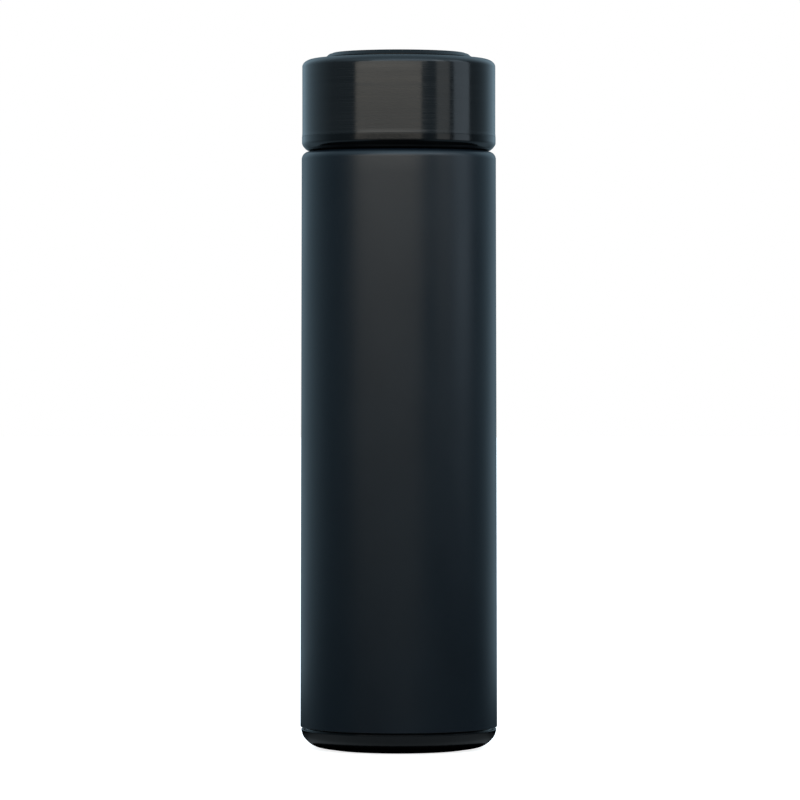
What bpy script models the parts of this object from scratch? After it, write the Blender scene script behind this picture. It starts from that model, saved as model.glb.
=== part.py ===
"""Double-wall vacuum flask with a screw-on lid that shows the drink's temperature.

Blender script: metres, +Z up, origin on the table at the flask's centre line.
Every turned piece is drawn as a half section of (radius, height) points in the row
frame, clockwise round the material, and spun about the flask's axis. The flask, the tea
strainer, the lid's seal and the lid move along and about that one axis.
"""

import math

import bmesh
import bpy
from mathutils import Matrix

MM = 0.001

# Driving dimensions
BODY_RADIUS = 32.7 * MM  # outside, at the foot
BODY_TOP_RADIUS = 32.25 * MM  # outside, below the shoulder
LID_RADIUS = 32.05 * MM
OVERALL_HEIGHT = 230.9 * MM
SHOULDER_Z = 197.9 * MM  # top of the body's rounded shoulder
LIP_Z = 211.0 * MM  # top of the bottle's mouth
SHEET = 0.5 * MM  # stainless sheet
GAP = 0.3 * MM  # between separate pieces
NECK_RADIUS = 26.2 * MM  # outside of the neck, under its thread
MOUTH_RADIUS = 24.3 * MM  # clear radius of the mouth
THREAD_LEAD = 3.5 * MM  # rise in one turn
THREAD_DEPTH = 0.8 * MM
THREAD_ROOT = 1.7 * MM  # width of a rib where it leaves the wall
THREAD_CREST = 0.7 * MM
THREAD_Z = 200.9 * MM  # height of the neck's rib at angle 0

# Base
BASE_SEAM_Z = 6.4 * MM
PAD_RADIUS = 23.4 * MM
PAD_THICKNESS = 1.6 * MM
CAP_WALL = 0.6 * MM
CAP_ROUNDING = (  # how far in from BODY_RADIUS, and height, down the cap's outside
    (0.05 * MM, 6.25 * MM),
    (0.25 * MM, 5.6 * MM),
    (0.55 * MM, 4.8 * MM),
    (1.0 * MM, 4.1 * MM),
    (1.5 * MM, 3.45 * MM),
    (2.1 * MM, 2.8 * MM),
    (2.8 * MM, 2.15 * MM),
    (3.7 * MM, 1.5 * MM),
    (5.1 * MM, 0.85 * MM),
    (6.7 * MM, 0.48 * MM),
    (8.6 * MM, 0.35 * MM),
)

# Inner vessel
VESSEL_RADIUS = 28.9 * MM  # outside
VESSEL_FLOOR_Z = 13.5 * MM
VESSEL_SHOULDER_Z = 187.0 * MM
FOIL = 0.2 * MM

# Strainer and seal
STRAINER_RADIUS = 23.5 * MM
STRAINER_SHEET = 0.4 * MM
STRAINER_DEPTH = 32.0 * MM
HOLE_RADIUS = 1.2 * MM
SEAL_THICKNESS = 1.7 * MM

# Lid
BAND_RADIUS = 32.15 * MM
BAND_Z = SHOULDER_Z + 0.5 * MM
BAND_HEIGHT = 5.0 * MM
BAND_ROUNDING = (  # how far in from BAND_RADIUS, and height above BAND_Z, down its outside
    (0.0 * MM, 2.6 * MM),
    (0.12 * MM, 2.1 * MM),
    (0.42 * MM, 1.55 * MM),
    (0.9 * MM, 0.95 * MM),
    (1.5 * MM, 0.4 * MM),
    (2.1 * MM, 0.1 * MM),
    (2.8 * MM, 0.0 * MM),
)
CEILING_Z = 214.0 * MM
CEILING = 2.0 * MM
BORE_RADIUS = 27.3 * MM
THREAD_WALL_RADIUS = 29.3 * MM
BOSS_RADIUS = 21.2 * MM
LID_TOP_Z = OVERALL_HEIGHT - 2.0 * MM
SHELL_HOLE_RADIUS = 22.4 * MM
LENS_RADIUS = 22.5 * MM
LENS_THICKNESS = 1.0 * MM

# Electronics, stacked under the lens
CASE_RADIUS = 21.6 * MM
CASE_WALL = 1.2 * MM
CASE_FLOOR_Z = CEILING_Z + CEILING + GAP
BOARD_RADIUS = 20.0 * MM
BOARD_Z = 224.1 * MM
BOARD_THICKNESS = 1.0 * MM
CELL_RADIUS = 12.25 * MM
CELL_THICKNESS = 3.0 * MM
CELL_Z = 218.2 * MM
PROBE_X = 15.0 * MM
SCREW_ANGLES = (60, 180, 300)
SCREW_PITCH_RADIUS = 25.0 * MM
SCREW_EAR_Z = 219.8 * MM

WALL_STEPS = 32  # facets round a large shell
FINE_STEPS = 20  # facets round a small piece
THREAD_STEP_DEG = 360 / WALL_STEPS

FINISHES = {  # colour, roughness, metallic
    "navy_paint": ((0.012, 0.017, 0.024), 0.42, 0.3),
    "black_steel": ((0.022, 0.025, 0.028), 0.28, 0.7),
    "black_plastic": ((0.012, 0.013, 0.015), 0.45, 0.0),
    "black_gloss": ((0.004, 0.005, 0.006), 0.06, 0.0),
    "steel": ((0.56, 0.56, 0.55), 0.3, 1.0),
    "copper": ((0.72, 0.36, 0.22), 0.3, 1.0),
    "solder": ((0.5, 0.5, 0.5), 0.45, 1.0),
    "getter": ((0.13, 0.12, 0.11), 0.8, 0.2),
    "silicone": ((0.78, 0.79, 0.78), 0.5, 0.0),
    "rubber": ((0.02, 0.02, 0.021), 0.8, 0.0),
    "board": ((0.01, 0.09, 0.04), 0.5, 0.0),
    "spring_steel": ((0.6, 0.52, 0.33), 0.3, 1.0),
    "wire": ((0.5, 0.02, 0.015), 0.5, 0.0),
}


def clear_scene():
    for obj in list(bpy.data.objects):
        bpy.data.objects.remove(obj, do_unlink=True)


def collection(name):
    made = bpy.data.collections.new(name)
    bpy.context.scene.collection.children.link(made)
    return made


def material(finish):
    """The shared Principled material of that finish."""
    found = bpy.data.materials.get(finish)
    if found:
        return found
    colour, roughness, metallic = FINISHES[finish]
    made = bpy.data.materials.new(finish)
    made.use_nodes = True
    shader = made.node_tree.nodes["Principled BSDF"]
    shader.inputs["Base Color"].default_value = (*colour, 1.0)
    shader.inputs["Roughness"].default_value = roughness
    shader.inputs["Metallic"].default_value = metallic
    return made


def add_part(name, mesh, finish):
    obj = bpy.data.objects.new(name, mesh)
    obj.data.materials.append(material(finish))
    PARTS.objects.link(obj)
    return obj


def as_cutter(obj):
    """Keeps obj as the operand of a Boolean, out of the model itself."""
    for holder in list(obj.users_collection):
        holder.objects.unlink(obj)
    CUTTERS.objects.link(obj)
    obj.hide_render = True
    obj.display_type = "WIRE"
    return obj


def boolean(obj, other, operation):
    modifier = obj.modifiers.new(f"{operation.lower()} {other.name}", "BOOLEAN")
    modifier.object = as_cutter(other)
    modifier.operation = operation


def arc(centre_r, centre_z, radius_r, radius_z, start_deg, end_deg, points=5):
    """Points of an elliptical arc in the half section, both ends included."""
    step = math.radians(end_deg - start_deg) / (points - 1)
    start = math.radians(start_deg)
    return [
        (
            centre_r + radius_r * math.cos(start + i * step),
            centre_z + radius_z * math.sin(start + i * step),
        )
        for i in range(points)
    ]


def turned(name, outline, finish, steps=WALL_STEPS):
    """A half section spun about the axis. One that doesn't start on the axis is a closed ring."""
    on_axis = outline[0][0] == 0
    edges = [(i, i + 1) for i in range(len(outline) - 1)]
    if not on_axis:
        edges.append((len(outline) - 1, 0))
    mesh = bpy.data.meshes.new(name)
    mesh.from_pydata([(r, 0, z) for r, z in outline], edges, [])
    obj = add_part(name, mesh, finish)
    screw = obj.modifiers.new("turn", "SCREW")
    screw.steps = screw.render_steps = steps
    screw.use_merge_vertices = True
    screw.merge_threshold = 1e-6
    return obj


def placed(obj, x, y, z=0.0):
    obj.location = (x, y, z)
    return obj


def block(name, size, centre, finish, bevel=0.0):
    """A box of that size, its edges rounded by a one-segment bevel."""
    bm = bmesh.new()
    bmesh.ops.create_cube(bm, size=1, matrix=Matrix.Diagonal((*size, 1)))
    mesh = bpy.data.meshes.new(name)
    bm.to_mesh(mesh)
    bm.free()
    obj = placed(add_part(name, mesh, finish), *centre)
    if bevel:
        rounding = obj.modifiers.new("edges", "BEVEL")
        rounding.width = bevel
        rounding.segments = 1
    return obj


def cylinder(name, radius, bottom, top, finish="steel", steps=FINE_STEPS):
    """An upright cylinder on its own axis, from one height to the other."""
    bm = bmesh.new()
    bmesh.ops.create_cone(
        bm,
        cap_ends=True,
        segments=steps,
        radius1=radius,
        radius2=radius,
        depth=top - bottom,
        matrix=Matrix.Translation((0, 0, (top + bottom) / 2)),
    )
    mesh = bpy.data.meshes.new(name)
    bm.to_mesh(mesh)
    bm.free()
    return add_part(name, mesh, finish)


def rod(name, points, radius, finish):
    """A round wire through the points."""
    curve = bpy.data.curves.new(name, "CURVE")
    curve.dimensions = "3D"
    curve.bevel_depth = radius
    curve.bevel_resolution = 1
    curve.use_fill_caps = True
    spline = curve.splines.new("POLY")
    spline.points.add(len(points) - 1)
    for vertex, point in zip(spline.points, points):
        vertex.co = (*point, 1)
    return add_part(name, curve, finish)


def helix(radius, lead, start_z, turns, steps):
    """Points of a right-handed helix that climbs lead in each turn."""
    angles = [math.tau * turns * i / steps for i in range(steps + 1)]
    return [
        (radius * math.cos(a), radius * math.sin(a), start_z + lead * a / math.tau)
        for a in angles
    ]


def thread_rib(name, wall, crest, middle_z, start_deg, end_deg):
    """A right-handed rib from inside a wall out to its crest. It runs out at both ends."""
    count = round((end_deg - start_deg) / THREAD_STEP_DEG)
    root = wall + math.copysign(SHEET / 2, wall - crest)
    bm = bmesh.new()
    rings = []
    for i in range(count + 1):
        angle = math.radians(start_deg + i * THREAD_STEP_DEG)
        share = min(1.0, 0.3 + 0.25 * min(i, count - i))
        top = wall + share * (crest - wall)
        z = middle_z + THREAD_LEAD * angle / math.tau
        low, high = share * THREAD_CREST / 2, share * THREAD_ROOT / 2
        section = ((root, z - high), (top, z - low), (top, z + low), (root, z + high))
        rings.append([bm.verts.new((r * math.cos(angle), r * math.sin(angle), h)) for r, h in section])
    for one, two in zip(rings, rings[1:]):
        for k in range(4):
            bm.faces.new((one[k], one[k - 1], two[k - 1], two[k]))
    bm.faces.new(rings[0])
    bm.faces.new(rings[-1])
    bmesh.ops.recalc_face_normals(bm, faces=bm.faces)
    mesh = bpy.data.meshes.new(name)
    bm.to_mesh(mesh)
    bm.free()
    return add_part(name, mesh, "steel")


def outer_shell():
    """Painted outer casing, drawn in at the shoulder to a neck with a rolled thread."""
    fold = 2.5 * MM
    neck_bore = NECK_RADIUS - SHEET
    top = LIP_Z - SHEET - GAP
    flat = SHOULDER_Z - SHEET
    bottom = BASE_SEAM_Z + GAP / 2
    outline = [(NECK_RADIUS, top)]
    outline += arc(NECK_RADIUS + 1 * MM, SHOULDER_Z + 1 * MM, 1 * MM, 1 * MM, 180, 270, 3)
    outline += arc(BODY_TOP_RADIUS - fold, SHOULDER_Z - fold, fold, fold, 90, 0, 6)
    outline += [(BODY_RADIUS, bottom), (BODY_RADIUS - SHEET, bottom)]
    outline += arc(
        BODY_TOP_RADIUS - fold, SHOULDER_Z - fold, fold - SHEET, fold - SHEET, 0, 90, 4
    )
    outline += [(neck_bore + 1.5 * MM, flat), (neck_bore, flat + 1.5 * MM), (neck_bore, top)]
    shell = turned("outer_shell", outline, "navy_paint")
    crest = NECK_RADIUS + THREAD_DEPTH
    boolean(shell, thread_rib("neck_thread", NECK_RADIUS, crest, THREAD_Z, 0, 630), "UNION")


def inner_vessel():
    """Stainless liner: floor, wall, shoulder, neck and the lip welded over the shell's neck."""
    corner = 9 * MM
    inside = VESSEL_RADIUS - SHEET
    floor = VESSEL_FLOOR_Z
    neck = MOUTH_RADIUS + SHEET
    shoulder_top = VESSEL_SHOULDER_Z + 8 * MM
    outline = [(0, floor + SHEET)]
    outline += arc(inside - corner, floor + SHEET + corner, corner, corner, 270, 360, 5)
    outline += [(inside, VESSEL_SHOULDER_Z), (inside - 0.9 * MM, VESSEL_SHOULDER_Z + 3 * MM)]
    outline += [(MOUTH_RADIUS + 0.6 * MM, shoulder_top - 1.5 * MM), (MOUTH_RADIUS, shoulder_top)]
    outline += arc(neck, LIP_Z - SHEET, SHEET, SHEET, 180, 90, 3)
    outline += [(NECK_RADIUS - 0.2 * MM, LIP_Z), (NECK_RADIUS, LIP_Z - 0.2 * MM)]
    outline += [(NECK_RADIUS, LIP_Z - SHEET), (neck, LIP_Z - SHEET)]
    outline += [(neck, shoulder_top), (neck + 0.6 * MM, shoulder_top - 1.5 * MM)]
    outline += [
        (VESSEL_RADIUS - 0.9 * MM, VESSEL_SHOULDER_Z + 3.2 * MM),
        (VESSEL_RADIUS, VESSEL_SHOULDER_Z),
    ]
    outline += arc(VESSEL_RADIUS - corner, floor + corner, corner, corner, 360, 270, 5)
    outline += [(0, floor)]
    turned("inner_vessel", outline, "steel")


def reflective_foil():
    """Foil sleeve round the liner, which turns back radiant heat in the vacuum."""
    inside = VESSEL_RADIUS + GAP
    bottom = VESSEL_FLOOR_Z + 12 * MM
    top = VESSEL_SHOULDER_Z - 2 * MM
    outline = [(inside + FOIL, top), (inside + FOIL, bottom), (inside, bottom), (inside, top)]
    turned("reflective_foil", outline, "copper")


def middle_bottom():
    """Steel dish that closes the vacuum, welded in the shell's foot, with its evacuation dimple."""
    outside = BODY_RADIUS - SHEET - GAP
    corner = 0.9 * MM
    under = 8.3 * MM
    top = under + SHEET
    rim = BASE_SEAM_Z + 2 * GAP
    outline = [(1.0 * MM, under + 1.8 * MM), (3.4 * MM, under + 1.8 * MM), (5 * MM, top)]
    outline += arc(outside - corner, top - corner, corner, corner, 90, 0, 4)
    outline += [(outside, rim), (outside - SHEET, rim), (outside - SHEET, under - 0.4 * MM)]
    outline += [(outside - corner, under), (4.6 * MM, under), (3.2 * MM, under + 1.3 * MM)]
    outline += [(1.0 * MM, under + 1.3 * MM)]
    turned("middle_bottom", outline, "steel")


def vacuum_plug():
    """Solder that sealed the evacuation hole: a bead in the dimple, with a stem in the hole."""
    outline = [(0, 10.3 * MM), (0.7 * MM, 10.2 * MM), (0.7 * MM, 9.3 * MM), (2.2 * MM, 9.3 * MM)]
    outline += [(2.6 * MM, 9.0 * MM), (2.0 * MM, 8.6 * MM), (0, 8.5 * MM)]
    turned("vacuum_plug", outline, "solder", FINE_STEPS)


def getter():
    """Gas-absorbing pellet in the vacuum space, and the spot-welded strap that holds it."""
    x, seat = 15 * MM, 9.1 * MM
    height = 1.5 * MM
    placed(cylinder("getter_pellet", 3.5 * MM, seat, seat + height, "getter"), x, 0)
    rise = seat + height + GAP
    strap = 0.3 * MM
    half, foot = 4.2 * MM, 7.0 * MM
    under = [(-foot, seat), (-half, seat), (-half, rise), (half, rise), (half, seat), (foot, seat)]
    over = [(half + strap, seat + strap), (half + strap, rise + strap)]
    outline = under + [(foot, seat + strap)] + over
    outline += [(-u, z) for u, z in reversed(over)] + [(-foot, seat + strap)]
    strip("getter_strap", outline, 2.4 * MM, "steel", x)


def strip(name, outline, width, finish, x=0.0):
    """A bent sheet strip: its side view in the YZ plane, as wide as that along X."""
    curve = bpy.data.curves.new(name, "CURVE")
    curve.dimensions = "2D"
    curve.fill_mode = "BOTH"
    curve.extrude = width / 2
    spline = curve.splines.new("POLY")
    spline.points.add(len(outline) - 1)
    for point, (u, z) in zip(spline.points, outline):
        point.co = (u, z, 0, 1)
    spline.use_cyclic_u = True
    obj = add_part(name, curve, finish)
    obj.rotation_euler = (math.radians(90), 0, math.radians(90))
    return placed(obj, x, 0)


def base_cap():
    """Moulded outer foot with a rounded edge, a collar that locates it and a recess for the pad."""
    top = CAP_ROUNDING[0][1]
    rim_z = CAP_ROUNDING[-1][1]
    recess = PAD_RADIUS + GAP
    ceiling = PAD_THICKNESS + GAP
    collar = BODY_RADIUS - 2 * SHEET - 2 * GAP
    plate = ceiling + CAP_WALL
    outline = [(0, plate), (27.0 * MM, plate)]
    outline += arc(collar - SHEET - 3.0 * MM, top - 0.6 * MM, 3.0 * MM, 3.0 * MM, 300, 360, 3)
    outline += [(collar - SHEET, top + 1.5 * MM), (collar, top + 1.5 * MM), (collar, top)]
    outline += [(BODY_RADIUS - inset, z) for inset, z in CAP_ROUNDING]
    outline += [(recess, rim_z), (recess, ceiling), (0, ceiling)]
    turned("base_cap", outline, "black_plastic")


def base_pad():
    """Anti-slip pad that the flask stands on."""
    edge = 0.3 * MM
    outline = [(0, PAD_THICKNESS), (PAD_RADIUS, PAD_THICKNESS), (PAD_RADIUS, edge)]
    outline += [(PAD_RADIUS - edge, 0), (0, 0)]
    turned("base_pad", outline, "rubber")


def tea_strainer():
    """Thin steel cup with rings of holes in its wall and floor, hung on the mouth's lip by its rim."""
    inside = STRAINER_RADIUS - STRAINER_SHEET
    under_rim = LIP_Z + GAP
    top = under_rim + STRAINER_SHEET
    floor = top - STRAINER_DEPTH
    corner = 3 * MM
    rim = NECK_RADIUS - 0.6 * MM
    outline = [(0, floor + STRAINER_SHEET)]
    outline += arc(
        inside - corner, floor + STRAINER_SHEET + corner, corner, corner, 270, 360, 3
    )
    outline += [(inside, top), (rim, top), (rim, under_rim), (STRAINER_RADIUS, under_rim)]
    outline += arc(STRAINER_RADIUS - corner, floor + corner, corner, corner, 360, 270, 3)
    outline += [(0, floor)]
    cup = turned("tea_strainer", outline, "steel")
    boolean(cup, strainer_holes(floor), "DIFFERENCE")


def strainer_holes(floor):
    """One cutter: bars right across the cup, two holes each, and pins through its floor."""
    bm = bmesh.new()

    def pin(radius, length, matrix):
        bmesh.ops.create_cone(
            bm, cap_ends=True, segments=6, radius1=radius, radius2=radius, depth=length, matrix=matrix
        )

    bars = 9
    for row in range(3):
        height = floor + 8 * MM + row * 5 * MM
        for i in range(bars):
            turn = Matrix.Rotation((i + 0.5 * (row % 2)) * math.pi / bars, 4, "Z")
            lay = Matrix.Rotation(math.radians(90), 4, "Y")
            pin(HOLE_RADIUS, 60 * MM, Matrix.Translation((0, 0, height)) @ turn @ lay)
    for ring, holes in ((0.0, 1), (6 * MM, 6), (12 * MM, 12)):
        for i in range(holes):
            a = math.tau * i / holes
            pin(HOLE_RADIUS, 3 * MM, Matrix.Translation((ring * math.cos(a), ring * math.sin(a), floor)))
    mesh = bpy.data.meshes.new("strainer_holes")
    bm.to_mesh(mesh)
    bm.free()
    return add_part("strainer_holes", mesh, "steel")


def lid_seal():
    """Soft ring between the lid's ceiling and the mouth, ribbed below where it is squeezed."""
    inner, outer = BOSS_RADIUS + GAP, BORE_RADIUS - GAP
    top = CEILING_Z - GAP
    bottom = top - SEAL_THICKNESS
    rib = 0.4 * MM
    middle = (inner + outer) / 2
    outline = [(inner, top), (outer, top), (outer, bottom + rib), (outer - rib, bottom)]
    outline += [(middle + 1.2 * MM, bottom), (middle + 0.8 * MM, bottom + rib)]
    outline += [(middle - 0.8 * MM, bottom + rib), (middle - 1.2 * MM, bottom)]
    outline += [(inner + rib, bottom), (inner, bottom + rib)]
    turned("lid_seal", outline, "silicone")


def lid_shell():
    """Brushed black steel cover with a softly domed edge and a round window for the display."""
    rise = 2.6 * MM
    reach = 4.0 * MM
    bottom = BAND_Z + BAND_HEIGHT + GAP
    hem = 0.2 * MM
    outline = [(SHELL_HOLE_RADIUS, LID_TOP_Z)]
    outline += arc(LID_RADIUS - reach, LID_TOP_Z - rise, reach, rise, 90, 0, 7)
    outline += [(LID_RADIUS, bottom + hem), (LID_RADIUS - hem, bottom), (LID_RADIUS - SHEET, bottom)]
    outline += arc(LID_RADIUS - reach, LID_TOP_Z - rise, reach - SHEET, rise - SHEET, 0, 90, 5)
    outline += [(SHELL_HOLE_RADIUS, LID_TOP_Z - SHEET)]
    turned("lid_shell", outline, "black_steel")


def lid_liner():
    """Moulded screw cap inside the cover: foot band, threaded bore, ceiling, socket and bosses."""
    step_z = BAND_Z + BAND_HEIGHT
    skirt = LID_RADIUS - SHEET - GAP
    top = CEILING_Z + CEILING
    socket = BOSS_RADIUS - 1.6 * MM
    socket_z = CEILING_Z - 3.8 * MM
    outline = [(2.0 * MM, top), (THREAD_WALL_RADIUS, top), (THREAD_WALL_RADIUS, step_z + 4 * MM)]
    outline += [(skirt - 0.4 * MM, step_z + 4 * MM), (skirt, step_z + 3.4 * MM), (skirt, step_z)]
    outline += [(BAND_RADIUS - 0.2 * MM, step_z), (BAND_RADIUS, step_z - 0.2 * MM)]
    outline += [(BAND_RADIUS - inset, BAND_Z + rise) for inset, rise in BAND_ROUNDING]
    outline += [(BORE_RADIUS + 0.5 * MM, BAND_Z), (BORE_RADIUS, BAND_Z + 0.5 * MM)]
    outline += [(BORE_RADIUS, CEILING_Z), (BOSS_RADIUS, CEILING_Z), (BOSS_RADIUS, socket_z)]
    outline += [(socket, socket_z), (socket, CEILING_Z), (2.0 * MM, CEILING_Z)]
    liner = turned("lid_liner", outline, "black_plastic")
    crest = BORE_RADIUS - THREAD_DEPTH
    between = THREAD_Z + THREAD_LEAD / 2
    rib = thread_rib("liner_thread", BORE_RADIUS, crest, between, -180, 292.5)
    boolean(liner, rib, "UNION")
    lead_hole = cylinder("lead_hole", 2.2 * MM, CEILING_Z - 1 * MM, top + 1 * MM, steps=12)
    boolean(liner, placed(lead_hole, PROBE_X, 0), "DIFFERENCE")
    for i, (x, y) in enumerate(screw_places(), 1):
        boss_top = SCREW_EAR_Z - GAP
        boss = cylinder(f"boss_{i}", 2.6 * MM, CEILING_Z + 1 * MM, boss_top, steps=12)
        boolean(liner, placed(boss, x, y), "UNION")
        pilot = cylinder(f"pilot_{i}", 1.1 * MM, top - 1.2 * MM, boss_top + 1 * MM, steps=12)
        boolean(liner, placed(pilot, x, y), "DIFFERENCE")


def screw_places():
    return [
        (SCREW_PITCH_RADIUS * math.cos(a), SCREW_PITCH_RADIUS * math.sin(a))
        for a in map(math.radians, SCREW_ANGLES)
    ]


def sensor_plate():
    """Steel dish in the lid's underside that takes up the drink's heat."""
    outside = BOSS_RADIUS - 1.6 * MM - GAP
    bottom = 208.8 * MM
    wall_top = 212.2 * MM
    corner = 1.0 * MM
    outline = [(0, bottom + SHEET), (outside - corner, bottom + SHEET)]
    outline += [(outside - SHEET, bottom + corner), (outside - SHEET, wall_top), (outside, wall_top)]
    outline += arc(outside - corner, bottom + corner, corner, corner, 0, -90, 4)
    outline += [(0, bottom)]
    turned("sensor_plate", outline, "steel")


def plate_gasket():
    """Silicone ring behind the sensor plate, which keeps drink out of the electronics."""
    outer = BOSS_RADIUS - 1.6 * MM - GAP
    inner = outer - 1.5 * MM
    top, bottom = CEILING_Z - GAP, 212.5 * MM
    edge = 0.3 * MM
    outline = [(inner + edge, top), (outer - edge, top), (outer, top - edge)]
    outline += [(outer, bottom + edge), (outer - edge, bottom), (inner + edge, bottom)]
    outline += [(inner, bottom + edge), (inner, top - edge)]
    turned("plate_gasket", outline, "silicone", 32)


def thermistor():
    """Glass bead on the back of the sensor plate, and its two sleeved leads up to the board."""
    seat = 209.6 * MM
    bead_top = seat + 2.4 * MM
    outline = [(0, bead_top)]
    outline += arc(0, seat + 1.2 * MM, 1.1 * MM, 1.2 * MM, 60, -60, 5)
    outline += [(0, seat)]
    placed(turned("thermistor", outline, "getter", 16), PROBE_X, 0)
    for number, side in ((1, -1), (2, 1)):
        y = side * 0.6 * MM
        slack = 0.5 * MM
        low, high = bead_top + GAP, BOARD_Z - GAP
        count = 12
        points = [
            (
                PROBE_X + slack * math.sin(math.tau * i / count),
                y + side * 0.2 * MM * math.sin(math.pi * i / count),
                low + (high - low) * i / count,
            )
            for i in range(count + 1)
        ]
        rod(f"sensor_lead_{number}", points, 0.35 * MM, "wire")


def module_case():
    """Moulded tray that carries the board and cell, with three ears for its screws."""
    floor = CASE_FLOOR_Z
    inside = CASE_RADIUS - CASE_WALL
    ledge = BOARD_Z - GAP
    top = BOARD_Z + BOARD_THICKNESS + 0.2 * MM
    outline = [(0, floor + 1 * MM), (BOARD_RADIUS - 1.2 * MM, floor + 1 * MM)]
    outline += [(BOARD_RADIUS - 1.2 * MM, ledge), (inside, ledge), (inside, top), (CASE_RADIUS, top)]
    outline += [(CASE_RADIUS, floor), (0, floor)]
    case = turned("module_case", outline, "black_plastic")
    ear_height = 1.5 * MM
    for i, (x, y) in enumerate(screw_places(), 1):
        ear = block(
            f"ear_{i}",
            (7.4 * MM, 5.6 * MM, ear_height),
            (x * 0.96, y * 0.96, SCREW_EAR_Z + ear_height / 2),
            "black_plastic",
        )
        ear.rotation_euler = (0, 0, math.radians(SCREW_ANGLES[i - 1]))
        boolean(case, ear, "UNION")
        hole = cylinder(
            f"ear_hole_{i}", 1.2 * MM, SCREW_EAR_Z - 1 * MM, SCREW_EAR_Z + 3 * MM, steps=12
        )
        boolean(case, placed(hole, x, y), "DIFFERENCE")
    lead_hole = cylinder("case_lead_hole", 2.2 * MM, floor - 1 * MM, floor + 2 * MM, steps=12)
    boolean(case, placed(lead_hole, PROBE_X, 0), "DIFFERENCE")


def case_screws():
    """Three pan-head screws that hold the tray down on the liner's bosses."""
    head_z = SCREW_EAR_Z + 1.5 * MM + GAP
    tip_z = CEILING_Z + CEILING - 0.6 * MM
    slot = 0.7 * MM
    for number, (x, y) in enumerate(screw_places(), 1):
        outline = [(0, head_z + 1.3 * MM), (1.3 * MM, head_z + 1.2 * MM), (1.9 * MM, head_z + 0.7 * MM)]
        outline += [(1.9 * MM, head_z), (0.8 * MM, head_z), (0.8 * MM, tip_z + 0.8 * MM)]
        outline += [(0.3 * MM, tip_z), (0, tip_z)]
        screw = placed(turned(f"case_screw_{number}", outline, "steel", 16), x, y)
        for turn in (0, 90):
            wing = block(
                f"recess_{number}_{turn}",
                (2.2 * MM, 0.5 * MM, 2 * slot),
                (x, y, head_z + 1.3 * MM),
                "steel",
            )
            wing.rotation_euler = (0, 0, math.radians(turn))
            boolean(screw, wing, "DIFFERENCE")


def circuit_board():
    """Round board with the display, the touch spring and the controller on top."""
    outline = [(0, BOARD_Z + BOARD_THICKNESS), (BOARD_RADIUS, BOARD_Z + BOARD_THICKNESS)]
    outline += [(BOARD_RADIUS, BOARD_Z), (0, BOARD_Z)]
    turned("circuit_board", outline, "board")
    on_board = BOARD_Z + BOARD_THICKNESS + GAP
    display_height = 3.8 * MM
    display = block(
        "led_display",
        (22 * MM, 11 * MM, display_height),
        (0, 0, on_board + display_height / 2),
        "black_plastic",
    )
    for i in range(3):
        digit = block(
            f"digit_{i}",
            (4.6 * MM, 8 * MM, 1 * MM),
            ((i - 1) * 6.4 * MM, 0, on_board + display_height),
            "steel",
        )
        boolean(display, digit, "DIFFERENCE")
    chip_height = 1.2 * MM
    block(
        "controller_chip",
        (6 * MM, 5 * MM, chip_height),
        (0, -12.5 * MM, on_board + chip_height / 2),
        "black_plastic",
        bevel=0.2 * MM,
    )


def touch_spring():
    """Coil that carries the board's touch signal up to the lens."""
    wire = 0.25 * MM
    low = BOARD_Z + BOARD_THICKNESS + GAP + wire
    high = OVERALL_HEIGHT - LENS_THICKNESS - GAP - wire
    turns = 3.5
    coil = helix(2.4 * MM, (high - low) / turns, low, turns, 35)
    placed(rod("touch_spring", coil, wire, "spring_steel"), 0, 12.5 * MM)


def coin_cell():
    """The cell under the board, and the sprung contacts on its two faces."""
    top = CELL_Z + CELL_THICKNESS
    edge = 0.4 * MM
    outline = [(0, top), (CELL_RADIUS - 1.5 * MM, top), (CELL_RADIUS - 1.5 * MM, top - edge)]
    outline += [(CELL_RADIUS, top - edge), (CELL_RADIUS, CELL_Z + edge)]
    outline += [(CELL_RADIUS - edge, CELL_Z), (0, CELL_Z)]
    turned("coin_cell", outline, "steel", 32)
    strap = 0.3 * MM
    under = CELL_Z - GAP - strap
    half = CELL_RADIUS + GAP
    leg_top = BOARD_Z - GAP
    outline = [(-half - strap, leg_top), (-half - strap, under), (half + strap, under)]
    outline += [(half + strap, leg_top), (half, leg_top), (half, under + strap)]
    outline += [(-half, under + strap), (-half, leg_top)]
    strip("cell_strap", outline, 5 * MM, "spring_steel")
    low, high = top + GAP, BOARD_Z - GAP
    outline = [(-7 * MM, high - strap), (-5 * MM, high - strap), (-2 * MM, low), (2 * MM, low)]
    outline += [(5 * MM, high - strap), (7 * MM, high - strap), (7 * MM, high), (4.8 * MM, high)]
    outline += [(1.8 * MM, low + strap), (-1.8 * MM, low + strap), (-4.8 * MM, high)]
    outline += [(-7 * MM, high)]
    strip("cell_contact", outline, 4 * MM, "spring_steel")


def display_bezel():
    """Sloped ring round the lens. Its skirt passes down through the cover's window."""
    under = LID_TOP_Z + GAP
    wide = 24.3 * MM
    top = OVERALL_HEIGHT - 0.4 * MM
    seat = OVERALL_HEIGHT - LENS_THICKNESS - GAP
    skirt = SHELL_HOLE_RADIUS - GAP
    ledge = 20.9 * MM
    foot = BOARD_Z + BOARD_THICKNESS + 2 * GAP
    outline = [(LENS_RADIUS + GAP, top), (LENS_RADIUS + 0.6 * MM, top), (wide, under + 0.3 * MM)]
    outline += [(wide, under), (skirt, under), (skirt, foot), (ledge, foot), (ledge, seat)]
    outline += [(LENS_RADIUS + GAP, seat)]
    turned("display_bezel", outline, "black_steel")


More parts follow.
